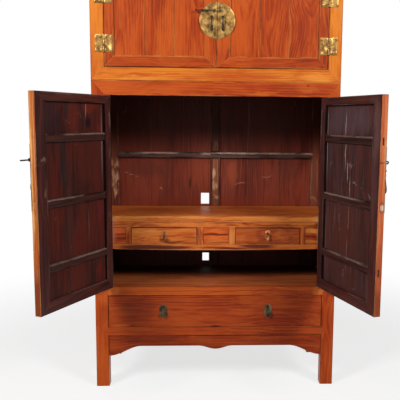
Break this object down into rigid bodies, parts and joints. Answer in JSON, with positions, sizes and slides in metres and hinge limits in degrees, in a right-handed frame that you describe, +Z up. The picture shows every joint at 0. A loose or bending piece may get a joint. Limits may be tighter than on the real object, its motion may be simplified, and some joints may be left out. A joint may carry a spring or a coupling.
{
  "type": "chinese compound cabinet",
  "caption": "Tall two-piece wedding cabinet: doors with round brass plates over an inner drawer shelf and a wide drawer, with a separate hat chest on top.",
  "frame": {"origin": "on the floor, under the centre of the four posts", "axes": "+Z up, -Y towards the front with the doors, +X to the viewer's right"},
  "size_m": [1.3793, 0.9441, 1.9203],
  "materials": {
    "orange_lacquer": "worn orange-brown lacquer over elm, semi-gloss",
    "red_lacquer": "dark red-brown lacquer, semi-gloss",
    "inner_lacquer": "dark purple-brown lacquer, semi-gloss",
    "back_stain": "thin mauve-brown stain, satin",
    "honey_wood": "honey-orange varnish, semi-gloss",
    "raw_wood": "unfinished softwood, matt",
    "brass": "worn yellow brass, satin",
    "dark_brass": "patinated greenish-brown brass, satin"
  },
  "bodies": {
    "carcass": {"post_front_left": "orange_lacquer", "post_front_right": "orange_lacquer", "posts_back": "orange_lacquer", "top_rail_front": "orange_lacquer", "drawer_rails_front": "red_lacquer", "side_rails": "orange_lacquer", "back_rails": "raw_wood", "side_panels": "orange_lacquer", "back_boards": "back_stain", "back_battens": "back_stain", "top_board": "raw_wood", "floor_board": "inner_lacquer", "drawer_runners": "raw_wood", "apron_front": "red_lacquer", "side_aprons": "orange_lacquer", "shelf_board": "honey_wood", "shelf_frame": "honey_wood", "shelf_fill_panels": "honey_wood", "shelf_partitions": "raw_wood", "post_hinge_leaves": "brass"},
    "left_door": {"door_left_stiles": "inner_lacquer", "door_left_rails": "inner_lacquer", "door_left_panel": "inner_lacquer", "door_left_battens": "inner_lacquer", "door_left_hinge_leaves": "brass", "door_left_face_plate": "brass"},
    "left_door_pull": {"door_left_pull": "brass"},
    "left_lock_pin": {"lock_pin": "brass"},
    "right_door": {"door_right_stiles": "inner_lacquer", "door_right_rails": "inner_lacquer", "door_right_panel": "inner_lacquer", "door_right_battens": "inner_lacquer", "door_right_hinge_leaves": "brass", "door_right_face_plate": "brass"},
    "right_door_pull": {"door_right_pull": "brass"},
    "wide_drawer": {"wide_drawer_front": "red_lacquer", "wide_drawer_box": "raw_wood", "wide_drawer_pull_posts": "dark_brass"},
    "wide_pull_left": {"wide_drawer_pull_left": "dark_brass"},
    "wide_pull_right": {"wide_drawer_pull_right": "dark_brass"},
    "shelf_drawer_left": {"small_drawer_left": "honey_wood", "small_drawer_pull_posts_left": "dark_brass"},
    "shelf_pull_left": {"small_drawer_pull_left": "dark_brass"},
    "shelf_drawer_right": {"small_drawer_right": "honey_wood", "small_drawer_pull_posts_right": "dark_brass"},
    "shelf_pull_right": {"small_drawer_pull_right": "dark_brass"},
    "chest": {"chest_posts": "orange_lacquer", "chest_rails": "orange_lacquer", "chest_side_panels": "orange_lacquer", "chest_back_boards": "back_stain", "chest_top_and_floor": "raw_wood", "chest_hinge_leaves": "brass"},
    "chest_left_door": {"chest_door_left": "orange_lacquer", "chest_door_left_metal": "brass", "chest_ear_left": "brass", "chest_pull_post_left": "brass"},
    "chest_left_pull": {"chest_pull_left": "brass"},
    "chest_lock": {"chest_lock_pin": "brass"},
    "chest_right_door": {"chest_door_right": "orange_lacquer", "chest_door_right_metal": "brass", "chest_ear_right": "brass", "chest_pull_post_right": "brass"},
    "chest_right_pull": {"chest_pull_right": "brass"}
  },
  "joints": [
    {"name": "left_door_hinge", "type": "hinge", "parent": "carcass", "child": "left_door", "pos_m": [-0.491, -0.2345, 0], "axis": [0, 0, -1], "range_deg": [-115.5, 49.5]},
    {"name": "right_door_hinge", "type": "hinge", "parent": "carcass", "child": "right_door", "pos_m": [0.491, -0.2345, 0], "axis": [0, 0, 1], "range_deg": [-107.4, 57.6]},
    {"name": "left_pull_swing", "type": "hinge", "parent": "left_door", "child": "left_door_pull", "pos_m": [-0.70198, -0.65127, 1.0445], "axis": [0.4305, 0.9026, 0], "range_deg": [0, 80]},
    {"name": "right_pull_swing", "type": "hinge", "parent": "right_door", "child": "right_door_pull", "pos_m": [0.64115, -0.67684, 1.0445], "axis": [0.299, -0.9542, 0], "range_deg": [0, 80]},
    {"name": "left_lock_pin_slide", "type": "slide", "parent": "left_door", "child": "left_lock_pin", "axis": [0.4305, 0.9026, 0], "range_m": [0, 0.044]},
    {"name": "wide_drawer_slide", "type": "slide", "parent": "carcass", "child": "wide_drawer", "axis": [0, -1, 0], "range_m": [0, 0.28]},
    {"name": "wide_pull_left_swing", "type": "hinge", "parent": "wide_drawer", "child": "wide_pull_left", "pos_m": [-0.241, -0.2445, 0.3813], "axis": [-1, 0, 0], "range_deg": [0, 80]},
    {"name": "wide_pull_right_swing", "type": "hinge", "parent": "wide_drawer", "child": "wide_pull_right", "pos_m": [0.241, -0.2445, 0.3813], "axis": [-1, 0, 0], "range_deg": [0, 80]},
    {"name": "shelf_drawer_left_slide", "type": "slide", "parent": "carcass", "child": "shelf_drawer_left", "axis": [0, -1, 0], "range_m": [0, 0.18]},
    {"name": "shelf_drawer_right_slide", "type": "slide", "parent": "carcass", "child": "shelf_drawer_right", "axis": [0, -1, 0], "range_m": [0, 0.18]},
    {"name": "shelf_pull_left_swing", "type": "hinge", "parent": "shelf_drawer_left", "child": "shelf_pull_left", "pos_m": [-0.239, -0.195, 0.7123], "axis": [-1, 0, 0], "range_deg": [0, 80]},
    {"name": "shelf_pull_right_swing", "type": "hinge", "parent": "shelf_drawer_right", "child": "shelf_pull_right", "pos_m": [0.239, -0.195, 0.7123], "axis": [-1, 0, 0], "range_deg": [0, 80]},
    {"name": "chest_lift", "type": "slide", "parent": "carcass", "child": "chest", "axis": [0, 0, 1], "range_m": [0, 0.06]},
    {"name": "chest_left_door_hinge", "type": "hinge", "parent": "chest", "child": "chest_left_door", "pos_m": [-0.491, -0.2345, 0], "axis": [0, 0, -1], "range_deg": [0, 165]},
    {"name": "chest_right_door_hinge", "type": "hinge", "parent": "chest", "child": "chest_right_door", "pos_m": [0.491, -0.2345, 0], "axis": [0, 0, 1], "range_deg": [0, 165]},
    {"name": "chest_left_pull_swing", "type": "hinge", "parent": "chest_left_door", "child": "chest_left_pull", "pos_m": [-0.024, -0.2455, 1.6763], "axis": [-1, 0, 0], "range_deg": [0, 80]},
    {"name": "chest_right_pull_swing", "type": "hinge", "parent": "chest_right_door", "child": "chest_right_pull", "pos_m": [0.024, -0.2455, 1.6763], "axis": [-1, 0, 0], "range_deg": [0, 80]},
    {"name": "chest_lock_pin_slide", "type": "slide", "parent": "chest_left_door", "child": "chest_lock", "axis": [-1, 0, 0], "range_m": [-0.044, 0]}
  ]
}
